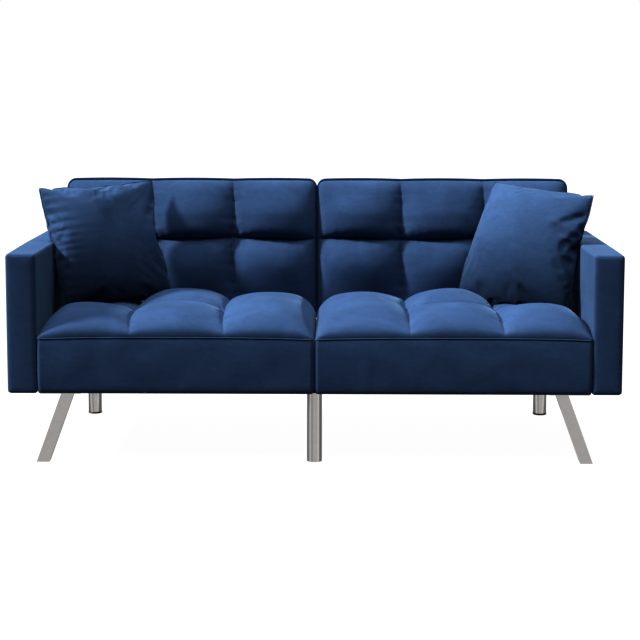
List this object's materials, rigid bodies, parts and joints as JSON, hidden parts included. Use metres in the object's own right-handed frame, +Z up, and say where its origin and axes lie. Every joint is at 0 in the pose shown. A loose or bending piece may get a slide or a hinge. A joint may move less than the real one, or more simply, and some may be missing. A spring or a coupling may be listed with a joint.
{
  "type": "futon sofa bed",
  "caption": "Click-clack futon sofa bed in tufted navy velvet with split reclining backrests, square box arms, slanted metal front legs and loose throw pillows.",
  "frame": {"origin": "bottom centre of the sofa's bounding box, on the floor", "axes": "+Z up, +X along the sofa's width towards the viewer's right seen from the front, +Y from the front to the back"},
  "size_m": [1.87, 0.78, 0.8354],
  "materials": {
    "velvet": "navy blue velvet, matte with a soft sheen",
    "pillow_velvet": "navy blue velvet, matte with a soft sheen",
    "foam": "open-cell cushion foam",
    "plywood": "bare plywood",
    "spring_steel": "oil-tempered spring wire",
    "zinc_steel": "bright zinc plate",
    "polished_steel": "chrome plate, slightly satin",
    "black_cloth": "black non-woven dust cover",
    "black_plastic": "black moulded plastic"
  },
  "bodies": {
    "base": {"arm_case_left": "plywood", "arm_case_right": "plywood", "arm_cover_left": "velvet", "arm_cover_right": "velvet", "base_rear_rail_left": "plywood", "base_rear_rail_right": "plywood", "centre_leg": "polished_steel", "dust_cover": "black_cloth", "front_leg_left": "polished_steel", "front_leg_right": "polished_steel", "hinge_base_plate_inner_left": "zinc_steel", "hinge_base_plate_inner_right": "zinc_steel", "hinge_base_plate_outer_left": "zinc_steel", "hinge_base_plate_outer_right": "zinc_steel", "hinge_pin_inner_left": "zinc_steel", "hinge_pin_inner_right": "zinc_steel", "hinge_pin_outer_left": "zinc_steel", "hinge_pin_outer_right": "zinc_steel", "inner_side_panel_left": "plywood", "inner_side_panel_right": "plywood", "outer_side_panel_left": "plywood", "outer_side_panel_right": "plywood", "rear_base_cover_left": "velvet", "rear_base_cover_right": "velvet", "rear_leg_cap_left": "black_plastic", "rear_leg_cap_right": "black_plastic", "rear_leg_left": "polished_steel", "rear_leg_right": "polished_steel", "seat_cover_left": "velvet", "seat_cover_right": "velvet", "seat_foam_left": "foam", "seat_foam_right": "foam", "seat_front_rail_left": "plywood", "seat_front_rail_right": "plywood", "seat_middle_rail_left": "plywood", "seat_middle_rail_right": "plywood", "zigzag_spring_inner_left": "spring_steel", "zigzag_spring_inner_right": "spring_steel", "zigzag_spring_outer_left": "spring_steel", "zigzag_spring_outer_right": "spring_steel"},
    "back_left": {"back_bottom_rail_left": "plywood", "back_cover_left": "velvet", "back_foam_left": "foam", "back_inner_upright_left": "plywood", "back_outer_upright_left": "plywood", "back_support_panel_left": "plywood", "back_top_rail_left": "plywood", "hinge_arm_plate_inner_left": "zinc_steel", "hinge_arm_plate_outer_left": "zinc_steel"},
    "back_right": {"back_bottom_rail_right": "plywood", "back_cover_right": "velvet", "back_foam_right": "foam", "back_inner_upright_right": "plywood", "back_outer_upright_right": "plywood", "back_support_panel_right": "plywood", "back_top_rail_right": "plywood", "hinge_arm_plate_inner_right": "zinc_steel", "hinge_arm_plate_outer_right": "zinc_steel"},
    "pillow_left": {"throw_pillow_left": "pillow_velvet"},
    "pillow_right": {"throw_pillow_right": "pillow_velvet"}
  },
  "joints": [
    {"name": "back_left_recline", "type": "hinge", "parent": "base", "child": "back_left", "pos_m": [-0.4215, 0.185, 0.38], "axis": [-1, 0, 0], "range_deg": [0, 82]},
    {"name": "back_right_recline", "type": "hinge", "parent": "base", "child": "back_right", "pos_m": [0.4215, 0.185, 0.38], "axis": [-1, 0, 0], "range_deg": [0, 82]},
    {"name": "pillow_left_lift", "type": "slide", "parent": "base", "child": "pillow_left", "axis": [0, 0, 1], "range_m": [0, 0.25]},
    {"name": "pillow_right_lift", "type": "slide", "parent": "base", "child": "pillow_right", "axis": [0, 0, 1], "range_m": [0, 0.25]}
  ]
}
